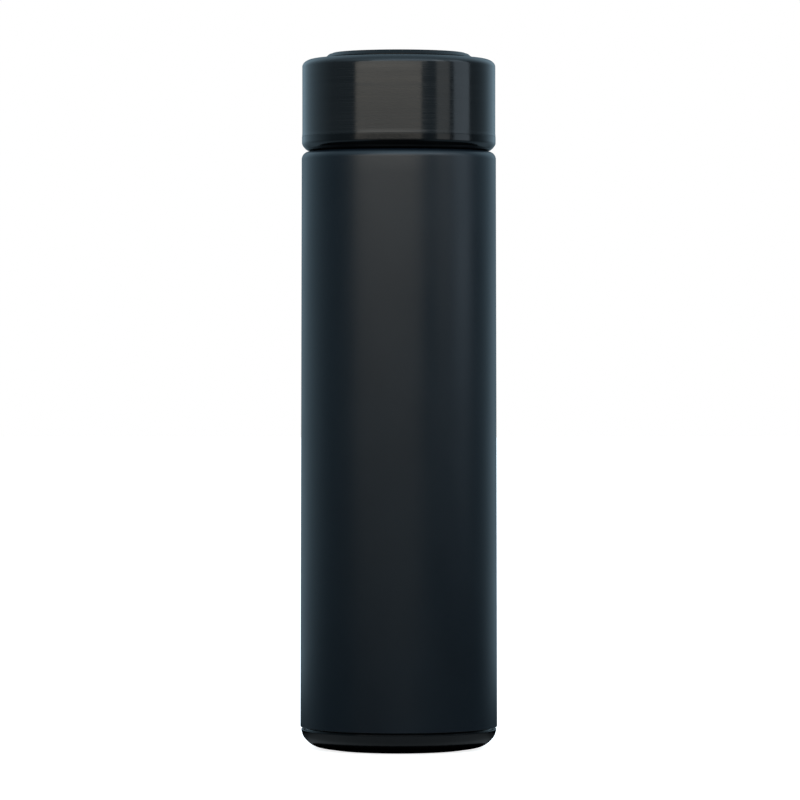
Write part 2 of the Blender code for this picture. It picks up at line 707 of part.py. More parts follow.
def display_lens():
    """Smoked touch lens, the highest face of the lid."""
    top = OVERALL_HEIGHT
    bottom = top - LENS_THICKNESS
    edge = 0.7 * MM
    outline = [(0, top)]
    outline += arc(LENS_RADIUS - edge, top - edge, edge, edge, 90, 0, 4)
    outline += [(LENS_RADIUS, bottom), (0, bottom)]
    turned("display_lens", outline, "black_gloss")


def build():
    outer_shell()
    inner_vessel()
    reflective_foil()
    middle_bottom()
    vacuum_plug()
    getter()
    base_cap()
    base_pad()
    tea_strainer()
    lid_seal()
    lid_shell()
    lid_liner()
    sensor_plate()
    plate_gasket()
    thermistor()
    module_case()
    case_screws()
    circuit_board()
    touch_spring()
    coin_cell()
    display_bezel()
    display_lens()


clear_scene()
PARTS = collection("vacuum_flask")
CUTTERS = collection("cutters")
build()
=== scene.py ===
"""Looks of the vacuum flask: finely turned pieces, finishes, studio and camera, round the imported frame.

Metres, +Z up, origin on the table at the flask's centre line, as in the frame. The camera
stands on the -Y side.
"""

import math

import bmesh
import bpy
import numpy as np
from mathutils import Matrix, Vector


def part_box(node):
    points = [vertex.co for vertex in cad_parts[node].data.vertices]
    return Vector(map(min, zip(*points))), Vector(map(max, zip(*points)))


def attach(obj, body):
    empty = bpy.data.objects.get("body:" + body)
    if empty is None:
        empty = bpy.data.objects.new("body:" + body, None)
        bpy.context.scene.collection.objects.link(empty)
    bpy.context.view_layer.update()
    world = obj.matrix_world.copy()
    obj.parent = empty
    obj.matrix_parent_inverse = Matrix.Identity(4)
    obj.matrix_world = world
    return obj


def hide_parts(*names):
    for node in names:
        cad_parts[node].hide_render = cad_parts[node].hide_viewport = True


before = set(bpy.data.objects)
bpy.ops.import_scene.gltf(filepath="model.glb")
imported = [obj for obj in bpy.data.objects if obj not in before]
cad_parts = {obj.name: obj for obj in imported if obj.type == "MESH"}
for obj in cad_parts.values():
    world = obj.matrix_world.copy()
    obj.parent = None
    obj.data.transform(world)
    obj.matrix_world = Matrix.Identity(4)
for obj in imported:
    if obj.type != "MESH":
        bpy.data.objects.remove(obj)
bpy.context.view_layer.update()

MM = 0.001
SEGMENTS = 160  # facets round a turned piece
SHEET = 0.5 * MM  # steel sheet
GAP = 0.3 * MM  # between separate pieces

# Flask
BODY_BOTTOM_Z = 7.4 * MM  # lower edge of the casing
BODY_TOP_RADIUS = 32.25 * MM  # casing, below its shoulder
NECK_RADIUS = 26.2 * MM  # outside of the neck, under its thread
MOUTH_RADIUS = 24.3 * MM  # clear radius of the mouth
CAP_ROUNDING = (  # mm in from the casing's radius, and mm above the table, down the base cap's outside
    (0.27, 6.4),
    (0.42, 5.7),
    (0.66, 4.9),
    (1.0, 4.1),
    (1.5, 3.45),
    (2.1, 2.8),
    (2.8, 2.15),
    (3.7, 1.5),
    (5.1, 0.85),
    (6.7, 0.48),
    (8.2, 0.36),
)
PAD_GROOVES = (21.2, 18.9, 16.6, 9.2, 6.9)  # mm, radii of the rings in the pad's underside

# Thread
THREAD_LEAD = 3.5 * MM  # rise in one turn
THREAD_DEPTH = 0.8 * MM
THREAD_Z = 200.9 * MM  # height of the neck's rib at angle 0
THREAD_STEP = 0.17 * MM  # between rings of points on a threaded wall
NECK_RIB = (0, 630)  # where the rib starts and ends, in degrees
CAP_RIB = (-180, 292.5)

# Lid
BORE_RADIUS = 27.3 * MM
CEILING_Z = 214 * MM
SHELL_DOME = (4.0 * MM, 2.6 * MM)  # how far in, and how high, the cover's edge is domed
WINDOW_RADIUS = 22.4 * MM  # the cover's opening for the display
BAND_ROUNDING = (  # mm in from the band's radius, and mm above its foot, down its outside
    (0.0, 2.6),
    (0.12, 2.1),
    (0.42, 1.55),
    (0.9, 0.95),
    (1.5, 0.4),
    (2.1, 0.1),
    (2.8, 0.0),
)
SCREW_ANGLES = (60, 180, 300)
SCREW_PITCH_RADIUS = 25 * MM
PROBE_X = 15 * MM  # where the sensor's leads pass up through the ceiling
DISPLAY_HALF = (11 * MM, 5.5 * MM)  # half the display's width and depth

# Camera
CAMERA_PLACE = (0.0004, -1.667, 0.132)
CAMERA_DOWN_DEG = 0.558
CAMERA_LENS = 225.8  # mm, on a 36 mm sensor


# ---------------------------------------------------------------- sizes read from the frame


def radius(node):
    low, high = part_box(node)
    return max(high.x, -low.x)


def low_z(node):
    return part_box(node)[0].z


def high_z(node):
    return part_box(node)[1].z


# ---------------------------------------------------------------- outlines


def filleted(corners, arc_points):
    """An outline from (r, z) or (r, z, fillet) corners, each fillet drawn as a short arc.

    The corners are taken as a ring, so an open stretch should begin and end on corners without one.
    """
    points = []
    count = len(corners)
    for i, corner in enumerate(corners):
        here = Vector(corner[:2])
        size = corner[2] if len(corner) > 2 else 0.0
        if not size:
            points.append(tuple(here))
            continue
        before = Vector(corners[i - 1][:2]) - here
        after = Vector(corners[(i + 1) % count][:2]) - here
        angle = before.angle(after)
        reach = size / math.tan(angle / 2)
        start = here + before.normalized() * reach
        end = here + after.normalized() * reach
        middle = (before.normalized() + after.normalized()).normalized()
        centre = here + middle * (size / math.sin(angle / 2))
        one, two = start - centre, end - centre
        sweep = one.angle(two)
        for k in range(arc_points):
            share = k / (arc_points - 1)
            a = math.sin((1 - share) * sweep) / math.sin(sweep)
            b = math.sin(share * sweep) / math.sin(sweep)
            points.append(tuple(centre + one * a + two * b))
    return points


def arc(centre_r, centre_z, radius_r, radius_z, start_deg, end_deg, count):
    """Points of an elliptical arc, both ends included."""
    angles = np.radians(np.linspace(start_deg, end_deg, count))
    return [
        (centre_r + radius_r * math.cos(a), centre_z + radius_z * math.sin(a)) for a in angles
    ]


def stepped(start, end, step):
    """Points from start to end, both included, no further apart than step."""
    length = math.dist(start, end)
    count = max(1, math.ceil(length / step))
    return [
        (start[0] + (end[0] - start[0]) * i / count, start[1] + (end[1] - start[1]) * i / count)
        for i in range(count + 1)
    ]


def catmull_rom(p, q, r, s, t):
    """The curve's value from q, where t is 0, to r, where t is 1."""
    second = 2 * p - 5 * q + 4 * r - s
    third = 3 * q - p - 3 * r + s
    return 0.5 * (2 * q + (r - p) * t + second * t**2 + third * t**3)


def smooth_curve(points, each=4):
    """The points with more between them, on a Catmull-Rom curve."""
    ends = [points[0], *points, points[-1]]
    drawn = []
    for near in zip(ends, ends[1:], ends[2:], ends[3:]):
        for k in range(each):
            drawn.append(tuple(catmull_rom(*values, k / each) for values in zip(*near)))
    return drawn + [points[-1]]


# ---------------------------------------------------------------- meshes


def lathe_mesh(name, outline, segments, shift=None):
    """A clockwise (r, z) outline turned about Z. shift(angle, r, z) gives a point's added radius."""
    on_axis = outline[0][0] < 1e-9
    bm = bmesh.new()
    angles = [math.tau * i / segments for i in range(segments)]
    columns = []
    for angle in angles:
        column = []
        for k, (r, z) in enumerate(outline):
            if on_axis and k in (0, len(outline) - 1):
                column.append(None)
                continue
            grown = r + (shift(angle, r, z) if shift else 0.0)
            column.append(bm.verts.new((grown * math.cos(angle), grown * math.sin(angle), z)))
        columns.append(column)
    top = bm.verts.new((0, 0, outline[0][1])) if on_axis else None
    bottom = bm.verts.new((0, 0, outline[-1][1])) if on_axis else None
    last = len(outline) if not on_axis else len(outline) - 1
    for i in range(segments):
        one, two = columns[i], columns[(i + 1) % segments]
        for k in range(last):
            n = (k + 1) % len(outline)
            corners = [one[k], one[n], two[n], two[k]]
            if on_axis and k == 0:
                corners = [top, one[n], two[n]]
            elif on_axis and n == len(outline) - 1:
                corners = [one[k], bottom, two[k]]
            bm.faces.new(corners)
    bmesh.ops.recalc_face_normals(bm, faces=bm.faces)
    mesh = bpy.data.meshes.new(name)
    bm.to_mesh(mesh)
    bm.free()
    return mesh


def cylinders(places, segments):
    """One mesh of closed cylinders, each given by its matrix, length and radius."""
    bm = bmesh.new()
    for place, length, r in places:
        bmesh.ops.create_cone(
            bm, cap_ends=True, segments=segments, radius1=r, radius2=r, depth=length, matrix=place
        )
    mesh = bpy.data.meshes.new("cylinders")
    bm.to_mesh(mesh)
    bm.free()
    return mesh


def upright(x, y, low, high, r):
    """What cylinders() takes for a vertical one."""
    return Matrix.Translation((x, y, (low + high) / 2)), high - low, r


def joined(mesh, other, operation):
    """The mesh with a Boolean applied."""
    pair = [bpy.data.objects.new(name, m) for name, m in (("whole", mesh), ("operand", other))]
    for obj in pair:
        bpy.context.scene.collection.objects.link(obj)
    cut = pair[0].modifiers.new("cut", "BOOLEAN")
    cut.object = pair[1]
    cut.operation = operation
    bpy.context.view_layer.update()
    result = bpy.data.meshes.new_from_object(
        pair[0].evaluated_get(bpy.context.evaluated_depsgraph_get())
    )
    for obj in pair:
        bpy.data.objects.remove(obj, do_unlink=True)
    result.materials.clear()
    return result


def add_piece(name, mesh, body, nodes, material, sharp_deg=32):
    """Puts a finished mesh on its CAD body in place of its nodes."""
    obj = bpy.data.objects.new(name, mesh)
    bpy.context.scene.collection.objects.link(obj)
    mesh.materials.append(material)
    mesh.shade_smooth()
    mesh.set_sharp_from_angle(angle=math.radians(sharp_deg))
    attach(obj, body)
    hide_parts(*nodes)


def lathe(name, outline, body, nodes, material, shift=None):
    add_piece(name, lathe_mesh(name, outline, SEGMENTS, shift), body, nodes, material)


def helix_rise(angle, z, middle_z, span_deg, half_width, flat=0.0):
    """How far, from 0 to 1, a right-handed thread rib stands up at that angle and height."""
    start, end = (math.radians(degrees) for degrees in span_deg)
    best = 0.0
    turn = math.floor((start - angle) / math.tau)
    while angle + turn * math.tau <= end:
        along = angle + turn * math.tau
        turn += 1
        if along < start:
            continue
        off = abs(z - middle_z - THREAD_LEAD * along / math.tau)
        if off >= half_width:
            continue
        share = min(1.0, max(0.0, (off - flat) / (half_width - flat)))
        rise = 0.5 + 0.5 * math.cos(math.pi * share)
        run_out = min(1.0, (along - start) / 0.5, (end - along) / 0.5)
        best = max(best, rise * math.sin(run_out * math.pi / 2))
    return best


# ---------------------------------------------------------------- node-based finishes


class Graph:
    """Short ways to add nodes to a tree."""

    def __init__(self, tree):
        self.nodes = tree.nodes
        self.links = tree.links

    def add(self, kind, **settings):
        node = self.nodes.new(kind)
        for key, value in settings.items():
            setattr(node, key, value)
        return node

    def link(self, source, socket):
        self.links.new(source, socket)

    def math(self, operation, *values):
        """A Math node's result. Each value is a number or another node's output."""
        node = self.add("ShaderNodeMath", operation=operation)
        for socket, value in zip(node.inputs, values):
            if hasattr(value, "default_value"):
                self.link(value, socket)
            else:
                socket.default_value = value
        return node.outputs[0]

    def split(self, vector):
        """The vector's three components."""
        node = self.add("ShaderNodeSeparateXYZ")
        self.link(vector, node.inputs[0])
        return node.outputs

    def ranged(self, value, from_low, from_high, to_low, to_high):
        """The value carried over from one range to the other, and held at its ends."""
        node = self.add("ShaderNodeMapRange")
        self.link(value, node.inputs["Value"])
        for key, number in (
            ("From Min", from_low),
            ("From Max", from_high),
            ("To Min", to_low),
            ("To Max", to_high),
        ):
            node.inputs[key].default_value = number
        return node.outputs["Result"]


class Finish(Graph):
    """A Principled material, with short ways to set its colour, roughness and relief."""

    def __init__(self, name, **settings):
        self.material = bpy.data.materials.new(name)
        self.material.use_nodes = True
        super().__init__(self.material.node_tree)
        self.shader = self.nodes["Principled BSDF"]
        for key, value in settings.items():
            socket = self.shader.inputs[key.replace("_", " ")]
            socket.default_value = (*value, 1.0) if isinstance(value, tuple) else value
        self.position = self.add("ShaderNodeTexCoord").outputs["Object"]
        self.relief = None

    def stretched(self, scale):
        node = self.add("ShaderNodeVectorMath", operation="MULTIPLY")
        self.link(self.position, node.inputs[0])
        node.inputs[1].default_value = scale
        return node.outputs[0]

    def turned_coordinates(self, around, across):
        """Coordinates for marks that run round the axis, on a wall and on a flat end alike."""
        x, y, z = self.split(self.position)
        squares = self.math("ADD", self.math("MULTIPLY", x, x), self.math("MULTIPLY", y, y))
        from_axis = self.math("SQRT", squares)
        joint = self.add("ShaderNodeCombineXYZ")
        self.link(self.math("MULTIPLY", x, around), joint.inputs[0])
        self.link(self.math("MULTIPLY", y, around), joint.inputs[1])
        self.link(self.math("MULTIPLY", self.math("SUBTRACT", z, from_axis), across), joint.inputs[2])
        return joint.outputs[0]

    def noise(self, vector, scale=1.0, detail=2.0, roughness=0.5):
        node = self.add("ShaderNodeTexNoise")
        self.link(vector, node.inputs["Vector"])
        node.inputs["Scale"].default_value = scale
        node.inputs["Detail"].default_value = detail
        node.inputs["Roughness"].default_value = roughness
        return node.outputs["Fac"]

    def spread(self, noise, low, high):
        """A noise, which mostly lies from 0.3 to 0.7, made to run from low to high."""
        return self.ranged(noise, 0.3, 0.7, low, high)

    def colour(self, value, dark, light):
        """Base colour between two colours, by a value from 0 to 1."""
        node = self.add("ShaderNodeMix", data_type="RGBA")
        self.link(value, node.inputs["Factor"])
        node.inputs["A"].default_value = (*dark, 1.0)
        node.inputs["B"].default_value = (*light, 1.0)
        self.link(node.outputs["Result"], self.shader.inputs["Base Color"])

    def mottled(self, noise, dark, light):
        """Base colour between two colours, by a noise."""
        self.colour(self.spread(noise, 0, 1), dark, light)

    def roughness(self, value):
        self.link(value, self.shader.inputs["Roughness"])

    def bump(self, height, distance):
        """Adds one layer of relief, distance in metres, on top of those already there."""
        node = self.add("ShaderNodeBump")
        node.inputs["Strength"].default_value = 1.0
        node.inputs["Distance"].default_value = distance
        self.link(height, node.inputs["Height"])
        if self.relief:
            self.link(self.relief, node.inputs["Normal"])
        self.relief = node.outputs["Normal"]
        self.link(self.relief, self.shader.inputs["Normal"])

    def brushed_round(self, strength):
        """Highlights drawn out across circumferential brushing."""
        self.shader.inputs["Anisotropic"].default_value = strength
        self.shader.inputs["Anisotropic Rotation"].default_value = 0.25
        tangent = self.add("ShaderNodeTangent", direction_type="RADIAL", axis="Z")
        self.link(tangent.outputs[0], self.shader.inputs["Tangent"])


def soft_paint():
    """Silky navy-black powder paint: fine orange peel, faint handling marks."""
    f = Finish("soft_paint", Specular_IOR_Level=0.5)
    f.mottled(f.noise(f.position, 55, 3), (0.0034, 0.0066, 0.0105), (0.0046, 0.0084, 0.0128))
    f.roughness(f.spread(f.noise(f.stretched((1, 1, 0.35)), 70, 4), 0.32, 0.38))
    f.bump(f.noise(f.position, 1500, 2), 0.006 * MM)
    return f.material


def black_steel():
    """Black-coated steel, brushed round the axis."""
    f = Finish("black_steel", Specular_IOR_Level=0.42)
    marks = f.noise(f.turned_coordinates(18, 5200), 1.0, 3, 0.6)
    broad = f.noise(f.turned_coordinates(9, 700), 1.0, 2)
    f.mottled(marks, (0.0075, 0.0085, 0.0095), (0.0130, 0.0140, 0.0150))
    f.roughness(f.math("ADD", f.spread(marks, 0.13, 0.2), f.spread(broad, 0, 0.05)))
    f.bump(marks, 0.0012 * MM)
    f.brushed_round(0.7)
    return f.material


def moulded(name, rough, grain, gloss=0.38):
    """Black moulded plastic with a fine spark-eroded grain, its depth in mm."""
    f = Finish(name, Specular_IOR_Level=gloss)
    f.mottled(f.noise(f.position, 90, 3), (0.0018, 0.0022, 0.0027), (0.0032, 0.0037, 0.0044))
    fine = f.noise(f.position, 2600, 2)
    f.roughness(f.spread(fine, rough - 0.05, rough + 0.05))
    f.bump(fine, grain * MM)
    return f.material


def smoked_lens():
    """Gloss black touch lens with the display's window showing faintly through it."""
    f = Finish("smoked_lens", Specular_IOR_Level=0.15)
    x, y, _ = f.split(f.position)
    across = f.math("LESS_THAN", f.math("ABSOLUTE", x), DISPLAY_HALF[0])
    along = f.math("LESS_THAN", f.math("ABSOLUTE", y), DISPLAY_HALF[1])
    window = f.math("MULTIPLY", across, along)
    f.colour(f.math("MULTIPLY", window, 0.8), (0.0022, 0.0028, 0.0034), (0.0065, 0.0060, 0.0062))
    f.roughness(f.ranged(f.noise(f.position, 140, 4), 0.35, 0.75, 0.045, 0.09))
    return f.material


def satin_steel(name, colour, smoothest, roughest, around=30, across=3000, anisotropy=0.5):
    """Stainless steel turned or brushed round the axis."""
    f = Finish(name, Metallic=1.0)
    marks = f.noise(f.turned_coordinates(around, across), 1.0, 4, 0.6)
    light = tuple(min(1.0, c * 1.12) for c in colour)
    f.mottled(f.noise(f.position, 60, 3), colour, light)
    f.roughness(f.spread(marks, smoothest, roughest))
    f.bump(marks, 0.003 * MM)
    f.brushed_round(anisotropy)
    return f.material


def soft_silicone():
    f = Finish("silicone", Subsurface_Weight=0.35, Subsurface_Scale=2 * MM, Specular_IOR_Level=0.4)
    f.mottled(f.noise(f.position, 120, 2), (0.66, 0.67, 0.66), (0.74, 0.75, 0.74))
    fine = f.noise(f.position, 1400, 2)
    f.roughness(f.spread(fine, 0.42, 0.55))
    f.bump(fine, 0.006 * MM)
    return f.material


def black_rubber():
    f = Finish("black_rubber", Specular_IOR_Level=0.35)
    f.mottled(f.noise(f.position, 160, 3), (0.013, 0.013, 0.014), (0.021, 0.021, 0.022))
    fine = f.noise(f.position, 1900, 3)
    f.roughness(f.spread(fine, 0.68, 0.85))
    f.bump(fine, 0.02 * MM)
    return f.material


def plain_metal(name, colour, rough):
    f = Finish(name, Metallic=1.0)
    grain = f.noise(f.position, 900, 3)
    f.mottled(grain, tuple(c * 0.85 for c in colour), colour)
    f.roughness(f.spread(grain, rough * 0.8, rough * 1.2))
    f.bump(grain, 0.004 * MM)
    return f.material


def plain_solid(name, colour, rough):
    f = Finish(name)
    grain = f.noise(f.position, 900, 3)
    f.mottled(grain, tuple(c * 0.8 for c in colour), colour)
    f.roughness(f.spread(grain, rough * 0.85, rough * 1.15))
    f.bump(grain, 0.01 * MM)
    return f.material


def circuit_mask():
    """Green solder mask over copper tracks."""
    f = Finish("circuit_mask", Coat_Weight=0.2, Coat_Roughness=0.2)
    tracks = f.add("ShaderNodeTexBrick")
    f.link(f.position, tracks.inputs["Vector"])
    tracks.inputs["Scale"].default_value = 420
    tracks.inputs["Mortar Size"].default_value = 0.05
    f.colour(tracks.outputs["Fac"], (0.006, 0.07, 0.03), (0.02, 0.15, 0.06))
    f.roughness(f.spread(f.noise(f.position, 700, 2), 0.3, 0.42))
    f.bump(tracks.outputs["Fac"], 0.02 * MM)
    return f.material


paint = soft_paint()
lid_steel = black_steel()
plastic = moulded("moulded_plastic", 0.18, 0.004)
lid_plastic = moulded("lid_plastic", 0.14, 0.003, 0.4)
bezel_plastic = moulded("bezel_plastic", 0.26, 0.004, 0.22)
tray_plastic = moulded("tray_plastic", 0.55, 0.02)
lens_gloss = smoked_lens()
inner_steel = satin_steel("inner_steel", (0.70, 0.70, 0.69), 0.2, 0.32)
disc_steel = satin_steel("disc_steel", (0.52, 0.52, 0.51), 0.25, 0.4)
pressed_steel = satin_steel("pressed_steel", (0.74, 0.74, 0.73), 0.14, 0.26, 40, 1800, 0.3)
silicone = soft_silicone()
rubber = black_rubber()


# ---------------------------------------------------------------- flask body


def body_casing():
    """Painted shell: straight wall, rounded shoulder, flat seat and a neck with a rolled thread."""
    foot_r, top = radius("outer_shell"), high_z("outer_shell")
    seat_z, fold, root, hem = 198.2 * MM, 2.6 * MM, 0.8 * MM, 0.1 * MM
    inner_seat, inner_root = seat_z - SHEET, 1.5 * MM
    bore = NECK_RADIUS - SHEET
    thread_low, thread_high = 200.2 * MM, 208.2 * MM
    outline = stepped((NECK_RADIUS, thread_high), (NECK_RADIUS, thread_low), THREAD_STEP)
    outline += arc(NECK_RADIUS + root, seat_z + root, root, root, 180, 270, 6)
    outline += arc(BODY_TOP_RADIUS - fold, seat_z - fold, fold, fold, 90, 0, 14)
    outline += stepped((BODY_TOP_RADIUS, 190 * MM), (foot_r, BODY_BOTTOM_Z + 0.15 * MM), 12 * MM)
    outline += arc(foot_r - hem, BODY_BOTTOM_Z + hem, hem, hem, 0, -90, 4)
    outline += [(foot_r - SHEET, BODY_BOTTOM_Z), (foot_r - SHEET, BODY_BOTTOM_Z + 4 * MM)]
    outline += [(BODY_TOP_RADIUS - SHEET, seat_z - 4 * MM)]
    outline += arc(BODY_TOP_RADIUS - fold, seat_z - fold, fold - SHEET, fold - SHEET, 0, 90, 8)
    outline += arc(bore + inner_root, inner_seat + inner_root, inner_root, inner_root, 270, 180, 6)
    outline += stepped((bore, thread_low), (bore, thread_high), THREAD_STEP)
    outline += [(bore, top), (NECK_RADIUS, top)]

    def rolled(angle, r, z):
        if r > NECK_RADIUS + 1e-6 or not thread_low < z < thread_high:
            return 0.0
        return THREAD_DEPTH * helix_rise(angle, z, THREAD_Z, NECK_RIB, 1.15 * MM)

    lathe("body_casing", outline, "flask", ["outer_shell"], paint, rolled)


def vessel():
    """Stainless inner vessel with its welded lip."""
    r, floor, lip = radius("inner_vessel"), low_z("inner_vessel"), high_z("inner_vessel")
    inside, mouth_wall = r - SHEET, MOUTH_RADIUS + SHEET
    corner = 9 * MM
    shoulder, top = 187 * MM, 195 * MM
    inner_wall = filleted(
        [
            (MOUTH_RADIUS, lip - 1.2 * MM),
            (MOUTH_RADIUS, top, 3 * MM),
            (inside - 1.6 * MM, shoulder + 3.4 * MM, 3 * MM),
            (inside, shoulder - 2 * MM),
        ],
        8,
    )
    outline = [(0, floor + SHEET)]
    outline += arc(inside - corner, floor + SHEET + corner, corner, corner, 270, 360, 12)
    outline += stepped((inside, floor + 14 * MM), (inside, shoulder - 4 * MM), 20 * MM)
    outline += inner_wall[::-1]
    outline += arc(MOUTH_RADIUS + 0.35 * MM, lip - 0.35 * MM, 0.35 * MM, 0.35 * MM, 180, 90, 5)
    outline += arc(NECK_RADIUS - 0.25 * MM, lip - 0.25 * MM, 0.25 * MM, 0.25 * MM, 90, 0, 5)
    outline += [(NECK_RADIUS, lip - SHEET), (mouth_wall, lip - SHEET), (mouth_wall, top)]
    outline += [(inside - 1.1 * MM, shoulder + 3.4 * MM), (r, shoulder - 2 * MM)]
    outline += arc(r - corner, floor + corner, corner, corner, 360, 270, 12)
    outline += [(0, floor)]
    lathe("inner_vessel_wall", outline, "flask", ["inner_vessel"], inner_steel)


def closing_dish():
    """Pressed dish that closes the vacuum, with the dimple that its evacuation hole is in."""
    outside, rim, corner = radius("middle_bottom"), BODY_BOTTOM_Z + 0.3 * MM, 0.9 * MM
    top = low_z("getter_strap") - GAP
    under = top - SHEET
    dimple = high_z("middle_bottom")
    outline = filleted(
        [
            (1 * MM, dimple),
            (3.4 * MM, dimple, 0.6 * MM),
            (5 * MM, top, 0.6 * MM),
            (outside, top, corner),
            (outside, rim),
            (outside - SHEET, rim),
            (outside - SHEET, under, corner - SHEET),
            (4.6 * MM, under, 0.6 * MM),
            (3.2 * MM, dimple - SHEET, 0.6 * MM),
            (1 * MM, dimple - SHEET),
        ],
        5,
    )
    lathe("closing_dish", outline, "flask", ["middle_bottom"], disc_steel)


def base_cap():
    """Moulded foot with its bowl-like edge, its collar and the pad's recess."""
    full_r, rise = radius("outer_shell"), high_z("base_cap")
    collar, top_z = full_r - 1.6 * MM, 6.65 * MM
    recess, ceiling = radius("base_pad") + GAP, high_z("base_pad") + GAP
    plate = ceiling + 0.6 * MM
    outline = [(0, plate), (27.0 * MM, plate)]
    outline += arc(collar - 3.5 * MM, top_z - 0.6 * MM, 3.0 * MM, 3.0 * MM, 300, 360, 6)
    outline += [(collar - SHEET, rise), (collar - 0.2 * MM, rise), (collar, rise - 0.2 * MM)]
    outline += [(collar, top_z), (full_r - 0.4 * MM, top_z)]
    outline += [(full_r - 0.31 * MM, top_z - 0.08 * MM)]
    outline += smooth_curve([(full_r - inset * MM, z * MM) for inset, z in CAP_ROUNDING])
    edge = [(recess + 0.4 * MM, 0.35 * MM), (recess, 0.75 * MM, 0.2 * MM), (recess, ceiling)]
    outline += filleted(edge, 4)
    outline += [(0, ceiling)]
    lathe("base_cap_moulding", outline, "flask", ["base_cap"], plastic)


def foot_pad():
    """Rubber pad with moulded rings in its underside."""
    r, top = radius("base_pad"), high_z("base_pad")
    outline = [(0, top), (r - 0.2 * MM, top), (r, top - 0.2 * MM), (r, 0.5 * MM)]
    outline += arc(r - 0.5 * MM, 0.5 * MM, 0.5 * MM, 0.5 * MM, -15, -90, 5)
    for groove in PAD_GROOVES:
        outline += filleted(
            [
                ((groove + 0.5) * MM, 0.0),
                ((groove + 0.25) * MM, 0.45 * MM, 0.12 * MM),
                ((groove - 0.25) * MM, 0.45 * MM, 0.12 * MM),
                ((groove - 0.5) * MM, 0.0),
            ],
            3,
        )
    outline += [(0, 0)]
    lathe("foot_pad", outline, "flask", ["base_pad"], rubber)


# ---------------------------------------------------------------- strainer


def strainer():
    """Pressed cup with real holes and a rolled rim."""
    r, floor, top = 23.5 * MM, low_z("tea_strainer"), high_z("tea_strainer")
    rim, wall, corner = radius("tea_strainer"), 0.4 * MM, 3 * MM
    under = top - wall
    inside = r - wall
    rings = [7 * MM, 14 * MM, r - corner - 1 * MM]
    outline = [(0, floor + wall)] + [(ring, floor + wall) for ring in rings]
    outline += arc(inside - corner, floor + wall + corner, corner, corner, 270, 360, 8)
    outline += stepped((inside, floor + 5 * MM), (inside, top - 1 * MM), 9 * MM)
    outline += arc(inside + 0.6 * MM, top - 0.6 * MM, 0.6 * MM, 0.6 * MM, 165, 90, 5)
    outline += arc(rim - 0.2 * MM, top - 0.2 * MM, 0.2 * MM, 0.2 * MM, 90, -90, 7)
    outline += filleted([(r + 0.6 * MM, under), (r, under, 0.2 * MM), (r, under - 0.6 * MM)], 4)
    outline += arc(r - corner, floor + corner, corner, corner, 360, 270, 8)
    outline += [(ring, floor) for ring in rings[::-1]] + [(0, floor)]
    mesh = lathe_mesh("strainer_cup", outline, 96)
    for holes in strainer_holes(floor):
        mesh = joined(mesh, holes, "DIFFERENCE")
    add_piece("strainer_cup", mesh, "strainer", ["tea_strainer"], pressed_steel, 25)


def strainer_holes(floor):
    """Two cutters: bars right across the cup, two holes each, and pins through its floor."""
    hole = 1.2 * MM
    bars = 9
    lay = Matrix.Rotation(math.radians(90), 4, "Y")
    across = []
    for row in range(3):
        height = Matrix.Translation((0, 0, floor + (8 + 5 * row) * MM))
        for i in range(bars):
            turn = Matrix.Rotation((i + 0.5 * (row % 2)) * math.pi / bars, 4, "Z")
            across.append((height @ turn @ lay, 60 * MM, hole))
    down = []
    for ring, count in ((0.0, 1), (6 * MM, 6), (12 * MM, 12)):
        for i in range(count):
            a = math.tau * i / count
            x, y = ring * math.cos(a), ring * math.sin(a)
            down.append(upright(x, y, floor - 1.5 * MM, floor + 1.5 * MM, hole))
    return cylinders(across, 16), cylinders(down, 24)


# ---------------------------------------------------------------- lid


def seal_ring():
    """Soft ring, ribbed below where the mouth squeezes it."""
    low, high = low_z("lid_seal"), high_z("lid_seal")
    inner, outer = 21.5 * MM, radius("lid_seal")
    middle = (inner + outer) / 2
    rib, round_off, root = 0.4 * MM, 0.25 * MM, 0.15 * MM
    outline = filleted(
        [
            (inner, high, round_off),
            (outer, high, round_off),
            (outer, low + rib, root),
            (outer - rib, low, round_off),
            (middle + 1.2 * MM, low, round_off),
            (middle + 0.8 * MM, low + rib, root),
            (middle - 0.8 * MM, low + rib, root),
            (middle - 1.2 * MM, low, round_off),
            (inner + rib, low, round_off),
            (inner, low + rib, root),
        ],
        4,
    )
    lathe("seal_ring", outline, "lid_seal", ["lid_seal"], silicone)


def lid_cover():
    """Brushed cover with a softly domed edge, a fine bead at its hem and the display's window."""
    r, top = radius("lid_shell"), high_z("lid_shell")
    bottom, hem = low_z("lid_shell") - 0.56 * MM, r + 0.065 * MM
    inner_r, fold = r - SHEET, 0.06 * MM
    reach, rise = SHELL_DOME
    outline = [(WINDOW_RADIUS, top)]
    outline += arc(r - reach, top - rise, reach, rise, 90, 0, 20)
    outline += stepped((r, top - 6 * MM), (r, bottom + 1.6 * MM), 6 * MM)
    swell = [(r + 0.005 * MM, bottom + 0.9 * MM), (r + 0.04 * MM, bottom + 0.5 * MM)]
    outline += smooth_curve(swell + [(hem, bottom + 0.1 * MM)], 3)
    outline += arc(hem - fold, bottom + fold, fold, fold, 0, -90, 4)
    outline += [(inner_r, bottom), (inner_r, bottom + 0.6 * MM), (inner_r, top - 6 * MM)]
    outline += arc(r - reach, top - rise, reach - SHEET, rise - SHEET, 0, 90, 12)
    outline += [(WINDOW_RADIUS, top - SHEET)]
    lathe("lid_cover", outline, "lid", ["lid_shell"], lid_steel)


